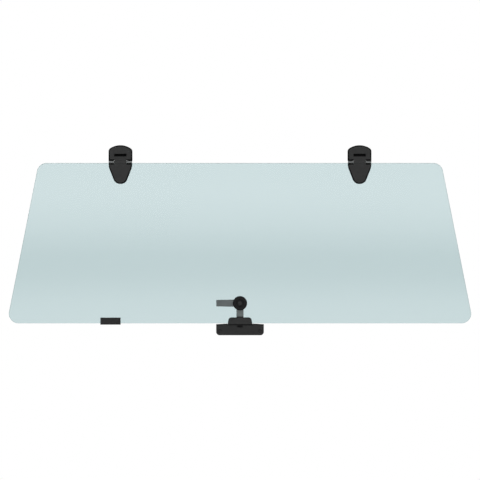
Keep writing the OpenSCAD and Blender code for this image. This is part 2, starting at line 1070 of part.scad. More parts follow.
// A channel that grips the pane's bottom edge, away from the glass by gap
module edge_channel(gap, t, rise) {
  bar(-buffer_x - buffer_w / 2, -buffer_x + buffer_w / 2)
    polygon([
      [glass_out - gap - t, glass_bottom_z + rise],
      [glass_out - gap - t, glass_bottom_z - gap - t],
      [glass_in + gap + t, glass_bottom_z - gap - t],
      [glass_in + gap + t, glass_bottom_z + rise],
      [glass_in + gap, glass_bottom_z + rise],
      [glass_in + gap, glass_bottom_z - gap],
      [glass_out - gap, glass_bottom_z - gap],
      [glass_out - gap, glass_bottom_z + rise]
    ]);
}

module edge_buffer() {
  half = buffer_w / 2;
  color("#2e2e2f")
    difference() {
      block([-buffer_x - half, glass_out - buffer_leg, glass_bottom_z - buffer_web],
            [-buffer_x + half, glass_in + buffer_leg, glass_bottom_z + buffer_rise]);
      block([-buffer_x - half - cut, glass_out, glass_bottom_z],
            [-buffer_x + half + cut, glass_in, glass_bottom_z + buffer_rise + cut]);
      edge_channel(spring_cover, spring_t, buffer_rise - spring_cover);
    }
}

module buffer_spring() {
  color("silver")
    edge_channel(spring_cover, spring_t, buffer_rise - spring_cover);
}

glass_pane();
at_hinge(-1) frame_bracket();  // left_frame_bracket
at_hinge(-1) bracket_gasket();  // left_bracket_gasket
at_hinge(-1) frame_cap();  // left_frame_cap
at_hinge(-1) hinge_pin();  // left_hinge_pin
at_hinge(-1) glass_leaf();  // left_glass_leaf
at_hinge(-1) leaf_gasket();  // left_leaf_gasket
at_hinge(-1) inner_gasket();  // left_inner_gasket
at_hinge(-1) back_plate();  // left_back_plate
at_hinge(-1) glass_cap();  // left_glass_cap
at_hinge(1) frame_bracket();  // right_frame_bracket
at_hinge(1) bracket_gasket();  // right_bracket_gasket
at_hinge(1) frame_cap();  // right_frame_cap
at_hinge(1) hinge_pin();  // right_hinge_pin
at_hinge(1) glass_leaf();  // right_glass_leaf
at_hinge(1) leaf_gasket();  // right_leaf_gasket
at_hinge(1) inner_gasket();  // right_inner_gasket
at_hinge(1) back_plate();  // right_back_plate
at_hinge(1) glass_cap();  // right_glass_cap
frame_studs();
hinge_washers();
clamp_screws();
clamp_washers();
clamp_nuts();
glass_bushes();
latch_body();
latch_gasket();
latch_inner_gasket();
latch_bush();
latch_washer();
latch_nut();
spindle();
spindle_clip();
lever();
knob();
knob_screw();
knob_plug();
lock_bolt();
drive_pin();
bolt_nose();
bolt_guide();
guide_liner();
clamp_pad();
grub_screws();
keeper();
strike();
keeper_inserts();
edge_buffer();
buffer_spring();
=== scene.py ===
import json
import math

import bmesh
import bpy
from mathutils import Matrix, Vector


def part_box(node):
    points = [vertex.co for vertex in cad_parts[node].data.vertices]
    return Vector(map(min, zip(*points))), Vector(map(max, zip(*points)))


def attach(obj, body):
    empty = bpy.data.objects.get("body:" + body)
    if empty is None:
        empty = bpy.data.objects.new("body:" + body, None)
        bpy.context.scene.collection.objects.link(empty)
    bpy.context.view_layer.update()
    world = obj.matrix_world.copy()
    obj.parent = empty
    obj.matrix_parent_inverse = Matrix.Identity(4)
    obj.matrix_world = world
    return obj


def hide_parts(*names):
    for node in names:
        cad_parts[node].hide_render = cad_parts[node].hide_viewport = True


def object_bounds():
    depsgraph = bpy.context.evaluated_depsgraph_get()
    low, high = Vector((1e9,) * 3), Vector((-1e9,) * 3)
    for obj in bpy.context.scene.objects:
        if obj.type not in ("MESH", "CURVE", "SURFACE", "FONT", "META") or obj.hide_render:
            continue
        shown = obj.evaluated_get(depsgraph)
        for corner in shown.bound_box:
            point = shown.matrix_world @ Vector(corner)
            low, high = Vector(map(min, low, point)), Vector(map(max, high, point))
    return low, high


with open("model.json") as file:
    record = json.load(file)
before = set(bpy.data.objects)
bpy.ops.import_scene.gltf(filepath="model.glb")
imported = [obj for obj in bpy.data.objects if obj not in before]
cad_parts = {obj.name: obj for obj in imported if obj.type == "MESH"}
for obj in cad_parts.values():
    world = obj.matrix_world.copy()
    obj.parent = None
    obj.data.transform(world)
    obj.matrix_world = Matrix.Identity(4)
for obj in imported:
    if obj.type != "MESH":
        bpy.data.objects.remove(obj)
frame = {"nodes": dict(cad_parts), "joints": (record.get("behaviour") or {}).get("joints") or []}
cad_low, cad_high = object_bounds()
nodes = frame["nodes"]


# ---------------------------------------------------------------- camera
# A long lens, square on to the pane and about level with the middle of the
# panel, so that depth hardly shows.

view_width = 1.248
view_drop = 0.2028
lens, sensor = 200.0, 36.0
swing_axis = Vector(frame["joints"][0]["pos_m"])

camera_data = bpy.data.cameras.new("camera")
camera_data.lens = lens
camera_data.sensor_width = sensor
camera_data.clip_end = 60.0
camera = bpy.data.objects.new("camera", camera_data)
camera.location = (0.0, swing_axis.y - view_width * lens / sensor, swing_axis.z - view_drop)
camera.rotation_euler = (math.radians(90.0), 0.0, 0.0)
bpy.context.collection.objects.link(camera)
bpy.context.scene.camera = camera


# ---------------------------------------------------------------- studio
# A white studio: a small bright screen in front with a dim strip across it,
# dim walls, three soft boxes, and a pale floor far below with its own light.

def link(tree, a, b):
    tree.links.new(a, b)


def math_node(tree, operation, first, second):
    node = tree.nodes.new("ShaderNodeMath")
    node.operation = operation
    for socket, value in zip(node.inputs, (first, second)):
        if isinstance(value, (int, float)):
            socket.default_value = value
        else:
            link(tree, value, socket)
    return node.outputs[0]


def map_range(tree, value, low, high, to_low=0.0, to_high=1.0, smooth=False):
    node = tree.nodes.new("ShaderNodeMapRange")
    node.interpolation_type = "SMOOTHSTEP" if smooth else "LINEAR"
    for name, number in (("From Min", low), ("From Max", high), ("To Min", to_low), ("To Max", to_high)):
        node.inputs[name].default_value = number
    link(tree, value, node.inputs["Value"])
    return node.outputs["Result"]


def ramp(tree, value, stops, interpolation="LINEAR"):
    node = tree.nodes.new("ShaderNodeValToRGB")
    node.color_ramp.interpolation = interpolation
    elements = node.color_ramp.elements
    while len(elements) < len(stops):
        elements.new(0.5)
    for element, (place, colour) in zip(elements, stops):
        element.position = place
        element.color = (*colour, 1.0) if isinstance(colour, tuple) else (colour, colour, colour, 1.0)
    link(tree, value, node.inputs["Fac"])
    return node.outputs["Color"]


def build_studio():
    world = bpy.data.worlds.new("studio")
    bpy.context.scene.world = world
    world.use_nodes = True
    tree = world.node_tree
    tree.nodes.clear()
    direction = tree.nodes.new("ShaderNodeSeparateXYZ")
    link(tree, tree.nodes.new("ShaderNodeTexCoord").outputs["Generated"], direction.inputs[0])
    half_band = 0.04
    height = map_range(tree, direction.outputs["Z"], -half_band, half_band)
    sweep = ramp(tree, height, [(0.10, 0.72), (0.22, 0.58), (0.31, 0.31), (0.40, 0.20), (0.46, 0.31),
                                (0.55, 0.63), (0.69, 0.96), (0.85, 0.98)], "CARDINAL")
    front = direction.outputs["Y"]
    side_glow = 0.06
    screen_gain = 3.3
    screen = map_range(tree, front, -0.984, -0.992, smooth=True)
    wall = map_range(tree, front, -0.45, -0.85, side_glow, 0.42, smooth=True)
    beside = math_node(tree, "MULTIPLY", wall, math_node(tree, "SUBTRACT", 1.0, screen))
    banded = math_node(tree, "MULTIPLY", math_node(tree, "MULTIPLY", sweep, screen_gain), screen)
    rear = map_range(tree, front, 0.25, 0.7, 0.0, 0.36, smooth=True)
    lit = math_node(tree, "ADD", math_node(tree, "ADD", beside, rear), banded)
    path = tree.nodes.new("ShaderNodeLightPath")
    seen = math_node(tree, "MAXIMUM", path.outputs["Is Camera Ray"], path.outputs["Is Transmission Ray"])
    unseen = math_node(tree, "SUBTRACT", 1.0, seen)
    background = tree.nodes.new("ShaderNodeBackground")
    background.inputs["Color"].default_value = (1.0, 1.0, 1.0, 1.0)
    link(tree, math_node(tree, "ADD", seen, math_node(tree, "MULTIPLY", lit, unseen)),
         background.inputs["Strength"])
    output = tree.nodes.new("ShaderNodeOutputWorld")
    link(tree, background.outputs[0], output.inputs["Surface"])


def soft_box(name, place, target, size, power):
    data = bpy.data.lights.new(name, "AREA")
    data.shape = "RECTANGLE"
    data.size, data.size_y = size
    data.energy = power
    box = bpy.data.objects.new(name, data)
    box.location = place
    box.rotation_euler = (Vector(target) - Vector(place)).to_track_quat("-Z", "Y").to_euler()
    box.visible_camera = False
    box.visible_transmission = False
    bpy.context.collection.objects.link(box)


build_studio()
middle = (cad_low + cad_high) / 2
soft_box("key_light", (-1.6, -2.6, 1.7), middle, (1.6, 1.2), 34.0)
soft_box("fill_light", (2.0, -2.4, 0.6), middle, (1.2, 1.6), 12.0)
soft_box("back_light", (0.9, 2.4, 1.6), middle, (1.6, 1.2), 30.0)

floor_drop = 0.75
floor_z = cad_low.z - floor_drop
floor_size = 6.4
floor_light_rise = 0.6
floor_mesh = bpy.data.meshes.new("floor")
half_floor = floor_size / 2
floor_mesh.from_pydata(
    [(x * half_floor, y * half_floor, floor_z) for x, y in ((-1, -1), (1, -1), (1, 1), (-1, 1))],
    [], [(0, 1, 2, 3)])
soft_box("floor_light", (0.0, 0.0, floor_z + floor_light_rise), (0.0, 0.0, floor_z),
         (floor_size, floor_size), 36.0)
floor = bpy.data.objects.new("floor", floor_mesh)
bpy.context.collection.objects.link(floor)


def new_finish(name):
    """A node material and its Principled shader."""
    material = bpy.data.materials.new(name)
    material.use_nodes = True
    return material, material.node_tree, material.node_tree.nodes["Principled BSDF"]


def noise(tree, scale, detail=3.0, stretch=(1.0, 1.0, 1.0)):
    """Noise that stays with the piece, scale in cycles a metre."""
    place = tree.nodes.new("ShaderNodeMapping")
    place.inputs["Scale"].default_value = stretch
    link(tree, tree.nodes.new("ShaderNodeTexCoord").outputs["Object"], place.inputs["Vector"])
    node = tree.nodes.new("ShaderNodeTexNoise")
    node.inputs["Scale"].default_value = scale
    node.inputs["Detail"].default_value = detail
    link(tree, place.outputs["Vector"], node.inputs["Vector"])
    return node.outputs["Fac"]


def raise_surface(tree, shader, height, strength, depth):
    """Fine relief from a height value, depth in metres."""
    node = tree.nodes.new("ShaderNodeBump")
    node.inputs["Strength"].default_value = strength
    node.inputs["Distance"].default_value = depth
    link(tree, height, node.inputs["Height"])
    link(tree, node.outputs["Normal"], shader.inputs["Normal"])


def painted_floor():
    material, tree, shader = new_finish("floor_paint")
    link(tree, ramp(tree, noise(tree, 1.5), [(0.3, (0.80, 0.80, 0.79)), (0.7, (0.84, 0.84, 0.83))]),
         shader.inputs["Base Color"])
    link(tree, ramp(tree, noise(tree, 9.0), [(0.3, 0.55), (0.7, 0.7)]), shader.inputs["Roughness"])
    return material


floor_mesh.materials.append(painted_floor())


# ---------------------------------------------------------------- glass pane
# One sheet of body-tinted toughened glass, wider at its foot. Its corners are
# rounded, its edges ground with a small arris, and its holes drilled before
# toughening, which leaves the faces very slightly wavy.

def ray(angle, length):
    return Vector((math.cos(angle), math.sin(angle))) * length


def rounded(corners, radii, steps=24):
    """An outline through the corners (x, z), each rounded to its own radius."""
    points = []
    count = len(corners)
    for i, r in enumerate(radii):
        before, here, after = (Vector(corners[(i + k) % count]) for k in (-1, 0, 1))
        if r == 0:
            points.append(here)
            continue
        u, v = (before - here).normalized(), (after - here).normalized()
        half = u.angle(v) / 2
        centre = here + (u + v).normalized() * r / math.sin(half)
        start = here + u * r / math.tan(half) - centre
        turn = math.pi - 2 * half
        first = math.atan2(start.y, start.x)
        points += [centre + ray(first + turn * k / steps, r) for k in range(steps + 1)]
    return points


def ring(mesh, outline, y):
    return [mesh.verts.new((p.x, y, p.y)) for p in outline]


def bridge(mesh, a, b, slot=0):
    """Faces between two rings with the same number of points."""
    for i in range(len(a)):
        j = (i + 1) % len(a)
        mesh.faces.new((a[i], a[j], b[j], b[i])).material_index = slot


def circle_outline(x, z, r, steps=48):
    return [Vector((x, z)) + ray(2 * math.pi * k / steps, r) for k in range(steps)]


def finish_mesh(mesh, name, crease=35.0):
    """Turns a bmesh into a smooth-shaded mesh that stays crisp at its creases."""
    bmesh.ops.recalc_face_normals(mesh, faces=mesh.faces)
    data = bpy.data.meshes.new(name)
    mesh.to_mesh(data)
    mesh.free()
    data.shade_smooth()
    data.set_sharp_from_angle(angle=math.radians(crease))
    return data


def place_piece(data, name, body, replaced, materials):
    """Adds a piece, rides it on its body and hides the CAD nodes it replaces."""
    piece = bpy.data.objects.new(name, data)
    bpy.context.collection.objects.link(piece)
    data.materials.clear()
    for material in materials:
        data.materials.append(material)
    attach(piece, body)
    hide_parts(*replaced)
    return piece


def tinted_glass():
    material, tree, shader = new_finish("tinted_glass")
    tint = ramp(tree, noise(tree, 2.2, 1.0), [(0.2, (0.513, 0.632, 0.645)), (0.8, (0.521, 0.638, 0.651))])
    link(tree, tint, shader.inputs["Base Color"])
    shader.inputs["Roughness"].default_value = 0.0
    shader.inputs["IOR"].default_value = 1.5
    shader.inputs["Transmission Weight"].default_value = 1.0
    raise_surface(tree, shader, noise(tree, 14.0, 1.0, (1.0, 1.0, 0.35)), 0.05, 0.0004)
    return material


def ground_edge_and_glow():
    material, tree, shader = new_finish("ground_edge_and_glow")
    speckle = noise(tree, 1800.0, 2.0)
    link(tree, ramp(tree, speckle, [(0.3, (0.36, 0.55, 0.53)), (0.7, (0.50, 0.68, 0.66))]),
         shader.inputs["Base Color"])
    link(tree, ramp(tree, speckle, [(0.3, 0.35), (0.7, 0.6)]), shader.inputs["Roughness"])
    shader.inputs["Transmission Weight"].default_value = 0.4
    # Painted light: the ground edge glows faintly green, as if lit, on top of its real speckled grey-green
    # grind.
    shader.inputs["Emission Color"].default_value = (0.27, 0.40, 0.38, 1.0)
    shader.inputs["Emission Strength"].default_value = 0.9
    raise_surface(tree, shader, speckle, 0.4, 0.00008)
    return material


def grid_of(node, r):
    """The (x, z) centres of a node's four like pieces, each of radius r."""
    low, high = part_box(node)
    return [(x, z) for x in (low.x + r, high.x - r) for z in (low.z + r, high.z - r)]


def glass_pane():
    low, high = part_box("glass_pane")
    lean = 0.199
    corner_r = 0.025
    arris = 0.0007
    height = high.z - low.z
    foot_half = 0.607
    head_half = foot_half - lean * height
    mesh = bmesh.new()

    def outline(inset):
        side = inset * (math.sqrt(1 + lean * lean) - lean)
        head = inset * (math.sqrt(1 + lean * lean) + lean)
        corners = [(-foot_half + head, low.z + inset), (foot_half - head, low.z + inset),
                   (head_half - side, high.z - inset), (-head_half + side, high.z - inset)]
        return rounded(corners, [corner_r - inset] * 4, 32)

    bush_r = 0.0053
    holes = [(x, z, bush_r) for x, z in grid_of("glass_bushes", bush_r)]
    latch_low, latch_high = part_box("latch_bush")
    holes.append((0.0, (latch_low.z + latch_high.z) / 2, (latch_high.x - latch_low.x) / 2))
    play = 0.0001

    rims = []
    layers = ((low.y, arris), (low.y + arris, 0.0), (high.y - arris, 0.0), (high.y, arris))
    rings = [ring(mesh, outline(inset), y) for y, inset in layers]
    for a, b in zip(rings, rings[1:]):
        bridge(mesh, a, b, 1)
    rims.append((rings[0], rings[-1]))
    for x, z, r in holes:
        bores = [ring(mesh, circle_outline(x, z, r + play + inset), y) for y, inset in layers]
        for a, b in zip(bores, bores[1:]):
            bridge(mesh, a, b, 1)
        rims.append((bores[0], bores[-1]))
    for side in (0, 1):
        edges = [mesh.edges.get((rim[side][i], rim[side][(i + 1) % len(rim[side])]))
                 for rim in rims for i in range(len(rim[side]))]
        bmesh.ops.triangle_fill(mesh, edges=edges, use_beauty=True)
    data = finish_mesh(mesh, "glass_sheet", crease=20.0)
    return place_piece(data, "glass_sheet", "sash", ["glass_pane"],
                       [tinted_glass(), ground_edge_and_glow()])


glass_pane()


# ---------------------------------------------------------------- hinge caps
# Two moulded nylon covers on each hinge, one on the frame's bracket and one on
# the leaf. Each is a thin shell with a spark-textured face and a rounded front
# edge; that edge and every face turned away from the front are painted darker,
# with a weaker reflection, as painted shade. The upper one has a slot for the
# tool that unclips it.

def black_moulding(name, tones):
    material, tree, shader = new_finish(name)
    link(tree, ramp(tree, noise(tree, 60.0, 4.0), [(0.3, tones[0]), (0.7, tones[1])]),
         shader.inputs["Base Color"])
    grain = noise(tree, 2600.0, 2.0)
    link(tree, ramp(tree, grain, [(0.3, 0.48), (0.7, 0.66)]), shader.inputs["Roughness"])
    shader.inputs["Specular IOR Level"].default_value = 0.45
    raise_surface(tree, shader, grain, 0.35, 0.00006)
    return material


# Painted shade: a near-black, weakly reflecting finish that darkens rims and faces turned away from the
# front.
def rim_shade_moulding():
    material, tree, shader = new_finish("rim_shade_moulding")
    tone = ramp(tree, noise(tree, 80.0, 3.0),
                [(0.3, (0.0030, 0.0032, 0.0034)), (0.7, (0.0045, 0.0047, 0.0049))])
    link(tree, tone, shader.inputs["Base Color"])
    link(tree, ramp(tree, noise(tree, 500.0, 2.0), [(0.3, 0.36), (0.7, 0.46)]), shader.inputs["Roughness"])
    shader.inputs["Specular IOR Level"].default_value = 0.14
    return material


moulding = black_moulding("black_moulding", ((0.0150, 0.0156, 0.0158), (0.0195, 0.0200, 0.0202)))
painted_rim_shade = rim_shade_moulding()


def refinish(piece, material, chosen):
    """Gives a second finish to the faces for which chosen(face) is true."""
    piece.data.materials.append(material)
    last = len(piece.data.materials) - 1
    for face in piece.data.polygons:
        if chosen(face):
            face.material_index = last


def turned_away(face, face_on=0.985):
    """Whether a face turns from the front into the painted rim shade; face_on is the cosine where the rim
    begins.
    """
    return -face.normal.y < face_on


def bake_modifiers(piece):
    """Replaces a piece's mesh by the one its modifiers make."""
    made = bpy.data.meshes.new_from_object(piece.evaluated_get(bpy.context.evaluated_depsgraph_get()))
    piece.modifiers.clear()
    piece.data = made


def cut_away(piece, mesh, keep_inside=False):
    """Cuts a closed bmesh out of a piece, or all that lies outside it."""
    bmesh.ops.recalc_face_normals(mesh, faces=mesh.faces)
    data = bpy.data.meshes.new("cutter")
    mesh.to_mesh(data)
    mesh.free()
    cutter = bpy.data.objects.new("cutter", data)
    bpy.context.collection.objects.link(cutter)
    cut = piece.modifiers.new("cut", "BOOLEAN")
    cut.operation = "INTERSECT" if keep_inside else "DIFFERENCE"
    cut.solver = "EXACT"
    cut.object = cutter
    bake_modifiers(piece)
    bpy.data.objects.remove(cutter)


def box(low, high):
    mesh = bmesh.new()
    bmesh.ops.create_cube(mesh, size=1.0)
    for vert in mesh.verts:
        vert.co = Vector([a + (b - a) * (c + 0.5) for a, b, c in zip(low, high, vert.co)])
    return mesh


def rod(outline, start, end, along):
    """A closed prism from an outline, along X (outline in y, z) or Y (outline in x, z)."""
    mesh = bmesh.new()
    ends = []
    for reach in (start, end):
        ends.append([mesh.verts.new((reach, *p) if along == "X" else (p[0], reach, p[1])) for p in outline])
        mesh.faces.new(ends[-1])
    bridge(mesh, *ends)
    return mesh


def soften(piece, width, segments=3, angle=35.0):
    """Rounds a piece's sharp edges a little, as moulding, casting or tumbling leaves them."""
    edge = piece.modifiers.new("soften", "BEVEL")
    edge.width = width
    edge.segments = segments
    edge.limit_method = "ANGLE"
    edge.angle_limit = math.radians(angle)
    edge.use_clamp_overlap = True
    bake_modifiers(piece)


def even_shading(piece, crease):
    """Smooth shading that stays crisp at creases and leaves flat faces flat."""
    piece.data.shade_smooth()
    piece.data.set_sharp_from_angle(angle=math.radians(crease))
    weigh = piece.modifiers.new("weigh", "WEIGHTED_NORMAL")
    weigh.keep_sharp = True
    bake_modifiers(piece)


def shell(mesh, outline, front, back, wall, edge_r, steps=8):
    """A cap with a rounded front edge; outline(inset) gives its rings."""
    outer = [ring(mesh, outline(0.0), back)]
    for k in range(steps + 1):
        turn = math.radians(90.0) * k / steps
        outer.append(ring(mesh, outline(edge_r * (1 - math.cos(turn))),
                          front + edge_r * (1 - math.sin(turn))))
    inner = [ring(mesh, outline(wall), back), ring(mesh, outline(wall), front + wall)]
    for a, b in zip(outer, outer[1:]):
        bridge(mesh, a, b)
    bridge(mesh, inner[0], inner[1])
    bridge(mesh, outer[0], inner[0])
    mesh.faces.new(outer[-1])
    mesh.faces.new(inner[-1])


cap_wall = 0.0018
cap_edge_r = 0.0042
crown_r = 0.0486
shoulder_r = 0.010
slot_half = Vector((0.016, 0.0035))
slot_z = 0.0178
lug_half = 0.0151
tongue_half = lug_half + cap_edge_r
tongue = 0.006
lug_sweep_r = 0.00557


def dome(low, high, inset):
    """The frame cap's outline: a three-centred arch, with a tongue left on to trim square."""
    x = (low.x + high.x) / 2
    half = (high.x - low.x) / 2
    roof = math.asin((half - shoulder_r) / (crown_r - shoulder_r))
    half -= inset
    r = crown_r - inset
    apex = high.z - inset + r * (1 / math.cos(roof) - 1)
    eave = apex - half * math.tan(roof)
    side = tongue_half - inset
    foot = low.z + inset
    corners = [(-half, foot), (-side, foot), (-side, foot - tongue), (side, foot - tongue), (side, foot),
               (half, foot), (half, eave), (0.0, apex), (-half, eave)]
    return rounded([(x + a, b) for a, b in corners],
                   [0.0005, 0, 0, 0, 0, 0.0005, shoulder_r - inset, r, shoulder_r - inset], 24)


def shield(low, high, inset):
    """The glass cap's outline: level head with a tongue left on, long tapered sides, round tip."""
    x = (low.x + high.x) / 2
    half = (high.x - low.x) / 2
    hip, hip_r, tip, tip_r = 0.0088, 0.045, 0.0132, 0.018
    hip_room = 0.98
    lean = (half - tip) / (high.z - low.z - hip)
    slope = math.sqrt(1 + lean * lean)
    hip_z = high.z - hip + inset * (slope - 1) / lean
    head = high.z - inset
    hip_r = min(hip_r - inset, hip_room * (head - hip_z) / math.tan(math.atan(lean) / 2))
    foot = tip + inset * (lean - slope)
    edge = half - inset
    side = tongue_half - inset
    corners = [(-foot, low.z + inset), (foot, low.z + inset), (edge, hip_z), (edge, head), (side, head),
               (side, head + tongue), (-side, head + tongue), (-side, head), (-edge, head), (-edge, hip_z)]
    return rounded([(x + a, b) for a, b in corners],
                   [tip_r - inset, tip_r - inset, hip_r, 0, 0, 0, 0, 0, 0, hip_r], 20)


def hinge_caps(side):
    play = 0.0002
    reach = 0.008
    trim_spare = 0.0001
    skim = 0.00002
    leaf_t = 0.002
    pass_half = lug_half + 2 * play
    for kind, outline, body in (("frame_cap", dome, "frame_side"), ("glass_cap", shield, "sash")):
        node = side + "_" + kind
        low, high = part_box(node)
        if kind == "frame_cap":
            low.z -= play
        else:
            high.z += play
        x = (low.x + high.x) / 2
        mesh = bmesh.new()
        shell(mesh, lambda inset: outline(low, high, inset), low.y, high.y, cap_wall, cap_edge_r)
        piece = place_piece(finish_mesh(mesh, node + "_shell"), node + "_shell", body,
                            [node], [moulding])
        trim = tongue_half + trim_spare
        if kind == "frame_cap":
            slot_mid = swing_axis.z + slot_z
            cut_away(piece, box((x - trim, low.y - reach, low.z - reach),
                                (x + trim, high.y + reach, low.z + skim)))
            cut_away(piece, box((x - slot_half.x, low.y - reach, slot_mid - slot_half.y),
                                (x + slot_half.x, low.y + cap_wall + play, slot_mid + slot_half.y)))
            cut_away(piece, box((x - pass_half, low.y + cap_wall, low.z - reach),
                                (x + pass_half, high.y + reach, low.z + cap_wall + play)))
        else:
            leaf_half = (high.x - low.x) / 2 - cap_wall
            leaf_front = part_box(side + "_leaf_gasket")[0].y - leaf_t
            cut_away(piece, box((x - trim, low.y - reach, high.z - skim),
                                (x + trim, high.y + reach, high.z + reach)))
            cut_away(piece, box((x - leaf_half, leaf_front - play, high.z - cap_wall - play),
                                (x + leaf_half, high.y + reach, high.z + reach)))
            sweep = [(swing_axis.y + p.x, swing_axis.z + p.y)
                     for p in circle_outline(0, 0, lug_sweep_r, steps=64)]
            cut_away(piece, rod(sweep, x - pass_half, x + pass_half, "X"))
        even_shading(piece, crease=35.0)
        # Painted shade: the caps' rims and faces turned from the front take the darker rim finish.
        refinish(piece, painted_rim_shade, turned_away)


for side in ("left", "right"):
    hinge_caps(side)


# ---------------------------------------------------------------- softened castings
# The bracket under each upper cap is a zinc die casting with a black powder
# coat; its middle knuckle shows between the two caps. Faces set back from the
# front get a darker, duller coat as painted shade.

def softened(node, body, material, width, segments=2, crease=40.0, face_mould=None, cutters=()):
    """A finer copy of a CAD node: flat faces made whole, moulded, sharp edges rounded, then cut."""
    mesh = bmesh.new()
    mesh.from_mesh(nodes[node].data)
    bmesh.ops.remove_doubles(mesh, verts=mesh.verts, dist=1e-6)
    bmesh.ops.dissolve_limit(mesh, angle_limit=math.radians(0.5), verts=mesh.verts, edges=mesh.edges)
    data = finish_mesh(mesh, node + "_made")
    piece = place_piece(data, node + "_made", body, [node], [material])
    if face_mould:
        cut_away(piece, face_mould, keep_inside=True)
    soften(piece, width, segments)
    for cutter in cutters:
        cut_away(piece, cutter)
    even_shading(piece, crease)
    return piece


def powder_coat():
    material, tree, shader = new_finish("powder_coat")
    peel = noise(tree, 700.0, 2.0)
    tone = ramp(tree, noise(tree, 40.0, 4.0),
                [(0.3, (0.0150, 0.0156, 0.0158)), (0.7, (0.0195, 0.0200, 0.0202))])
    link(tree, tone, shader.inputs["Base Color"])
    link(tree, ramp(tree, peel, [(0.3, 0.44), (0.7, 0.58)]), shader.inputs["Roughness"])
    shader.inputs["Specular IOR Level"].default_value = 0.45
    raise_surface(tree, shader, peel, 0.25, 0.00008)
    return material


# Painted shade: a darker, duller black for faces set back in recesses.
def recess_shade_coat():
    material, tree, shader = new_finish("recess_shade_coat")
    tone = ramp(tree, noise(tree, 300.0, 4.0),
                [(0.3, (0.0045, 0.0046, 0.0047)), (0.7, (0.0085, 0.0086, 0.0088))])
    link(tree, tone, shader.inputs["Base Color"])
    link(tree, ramp(tree, noise(tree, 900.0, 2.0), [(0.3, 0.8), (0.7, 0.95)]), shader.inputs["Roughness"])
    shader.inputs["Specular IOR Level"].default_value = 0.2
    return material


coat, painted_recess_shade = powder_coat(), recess_shade_coat()
recess_depth = swing_axis.y + 0.001
for side in ("left", "right"):
    bracket = softened(side + "_frame_bracket", "frame_side", coat, width=0.0003)
    refinish(bracket, painted_recess_shade, lambda face: face.center.y > recess_depth)
# The latch flange's faces behind the middle of the pane take the same painted shade.
flange = softened("latch_body", "sash", coat, width=0.0004)
refinish(flange, painted_recess_shade, lambda face: face.center.y > 0.0)


# ---------------------------------------------------------------- rubber parts
# Punched and moulded black rubber: gaskets under the brackets, leaves, back
# plates and latch, the liner in the bolt guide and the buffer on the edge.

def black_rubber():
    material, tree, shader = new_finish("black_rubber")
    bloom = noise(tree, 90.0, 5.0)
    link(tree, ramp(tree, bloom, [(0.3, (0.016, 0.016, 0.0165)), (0.75, (0.030, 0.030, 0.031))]),
         shader.inputs["Base Color"])
    skin = noise(tree, 1500.0, 3.0)
    link(tree, ramp(tree, skin, [(0.3, 0.62), (0.7, 0.85)]), shader.inputs["Roughness"])
    shader.inputs["Specular IOR Level"].default_value = 0.35
    raise_surface(tree, shader, skin, 0.3, 0.00008)
    return material


def wear_finish(node, material):
    """Gives a CAD node a better finish."""
    for slot in nodes[node].material_slots:
        slot.material = material


rubber = black_rubber()
for node in ("left_bracket_gasket", "right_bracket_gasket", "left_leaf_gasket", "right_leaf_gasket",
             "left_inner_gasket", "right_inner_gasket", "latch_gasket", "latch_inner_gasket"):
    wear_finish(node, rubber)
softened("guide_liner", "sash", rubber, width=0.0002)
softened("edge_buffer", "sash", rubber, width=0.0009, segments=4)


# ---------------------------------------------------------------- satin steel
# The leaves, the lever and the bolt are blanked from steel plate, tumbled and
# left satin: their grain runs along the plate and their edges are rounded.

def satin_steel(name, stretch, tones):
    material, tree, shader = new_finish(name)
    shader.inputs["Metallic"].default_value = 1.0
    grain = noise(tree, 900.0, 4.0, stretch)
    cloud = noise(tree, 50.0, 4.0)
    link(tree, ramp(tree, cloud, [(0.3, tones[0]), (0.7, tones[1])]), shader.inputs["Base Color"])
    link(tree, ramp(tree, grain, [(0.3, 0.40), (0.7, 0.50)]), shader.inputs["Roughness"])
    raise_surface(tree, shader, grain, 0.12, 0.00003)
    return material


upright_grain = satin_steel("satin_steel_upright", (1.0, 1.0, 0.05),
                            ((0.150, 0.168, 0.167), (0.172, 0.190, 0.188)))
level_grain = satin_steel("satin_steel_level", (0.05, 1.0, 1.0),
                          ((0.140, 0.156, 0.157), (0.160, 0.176, 0.177)))
leaf_grain = satin_steel("satin_steel_leaf", (0.05, 1.0, 1.0),
                         ((0.215, 0.225, 0.224), (0.245, 0.255, 0.254)))
for side in ("left", "right"):
    softened(side + "_glass_leaf", "sash", leaf_grain, width=0.0003)
softened("lock_bolt", "bolt", upright_grain, width=0.0009, segments=3)

low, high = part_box("lever")
ridge_w, ridge_h, ridge_d, ridge_pitch, ridge_in = 0.0009, 0.0062, 0.0004, 0.0021, 0.0052
ridges = []
for k in range(3):
    x = low.x + ridge_in + k * ridge_pitch
    z = (low.z + high.z) / 2
    ridges.append(box((x - ridge_w / 2, low.y - ridge_d, z - ridge_h / 2),
                      (x + ridge_w / 2, low.y + ridge_d, z + ridge_h / 2)))
softened("lever", "lever", level_grain, width=0.00085, segments=3, cutters=ridges)


# ---------------------------------------------------------------- mounting studs
# Four M6 studs with a shoulder, pressed into the brackets. Rolled threads,
# bright zinc plate; nuts behind the panel pull them tight.

def zinc_plate():
    material, tree, shader = new_finish("zinc_plate")
    shader.inputs["Metallic"].default_value = 1.0
    spangle = noise(tree, 260.0, 4.0)
    link(tree, ramp(tree, spangle, [(0.3, (0.52, 0.53, 0.55)), (0.7, (0.66, 0.66, 0.64))]),
         shader.inputs["Base Color"])
    link(tree, ramp(tree, noise(tree, 1100.0, 3.0), [(0.3, 0.24), (0.7, 0.4)]), shader.inputs["Roughness"])
    raise_surface(tree, shader, spangle, 0.12, 0.00004)
    return material


